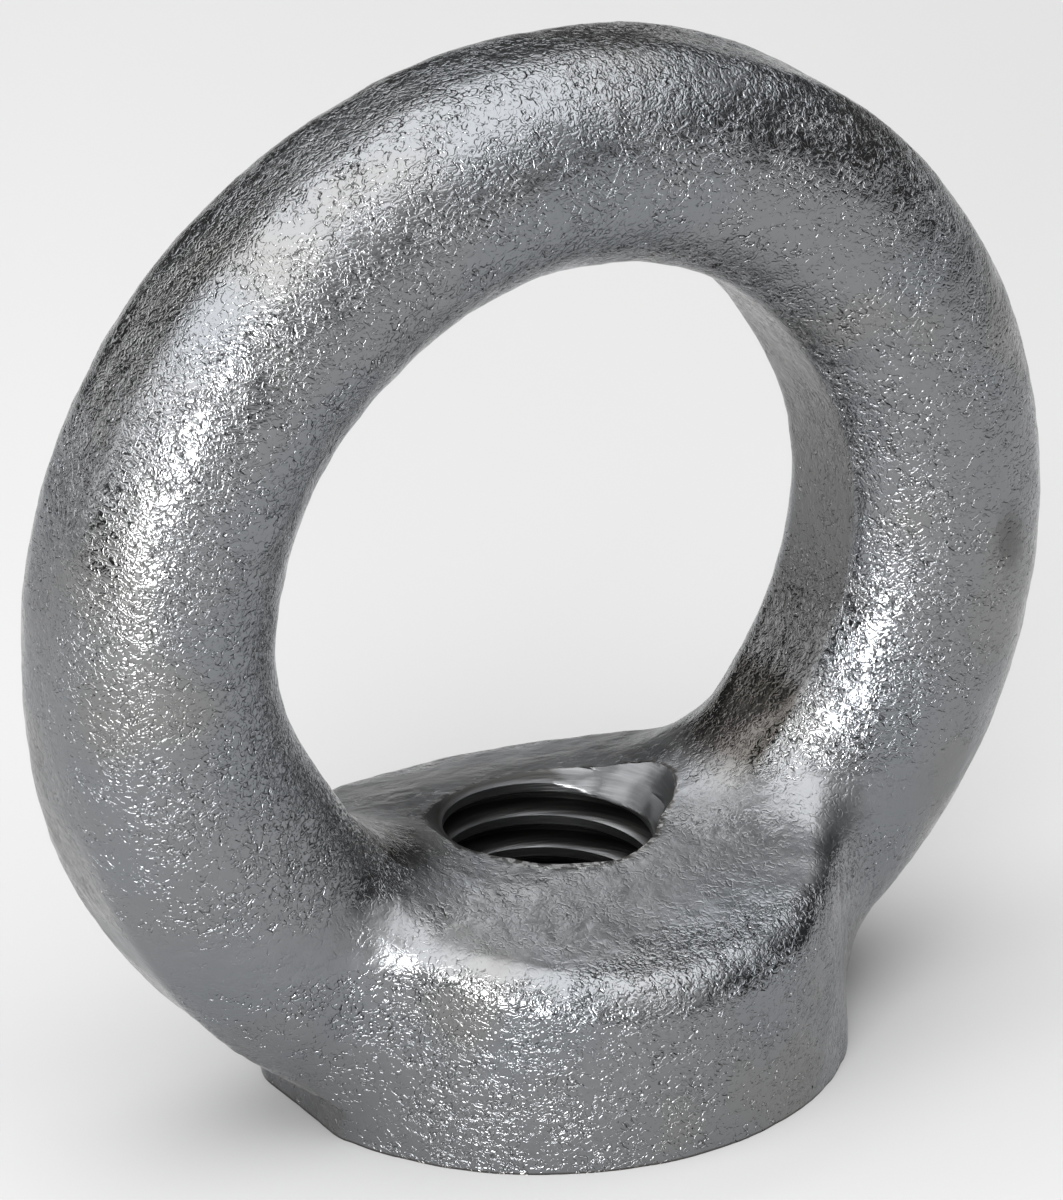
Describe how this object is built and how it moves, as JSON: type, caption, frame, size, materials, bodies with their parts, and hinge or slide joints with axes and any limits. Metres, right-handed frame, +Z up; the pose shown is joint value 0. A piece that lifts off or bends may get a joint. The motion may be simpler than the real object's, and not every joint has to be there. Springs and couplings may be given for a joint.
{
  "type": "lifting eye nut",
  "caption": "Lifting eye nut: a closed round-section ring forged in one with a short threaded collar, flat underneath, that screws onto a stud to take a hook or shackle.",
  "frame": {"origin": "on the thread's axis, in the plane of the machined underside", "axes": "+Z up along the thread's axis towards the ring, +X across the ring in its own plane, +Y along the ring's axis"},
  "size_m": [0.0536, 0.0288, 0.0515],
  "materials": {
    "zinc_plated_steel": "bright zinc plating over a shot-blasted forging"
  },
  "bodies": {
    "root": {"eye_nut": "zinc_plated_steel"}
  },
  "joints": []
}
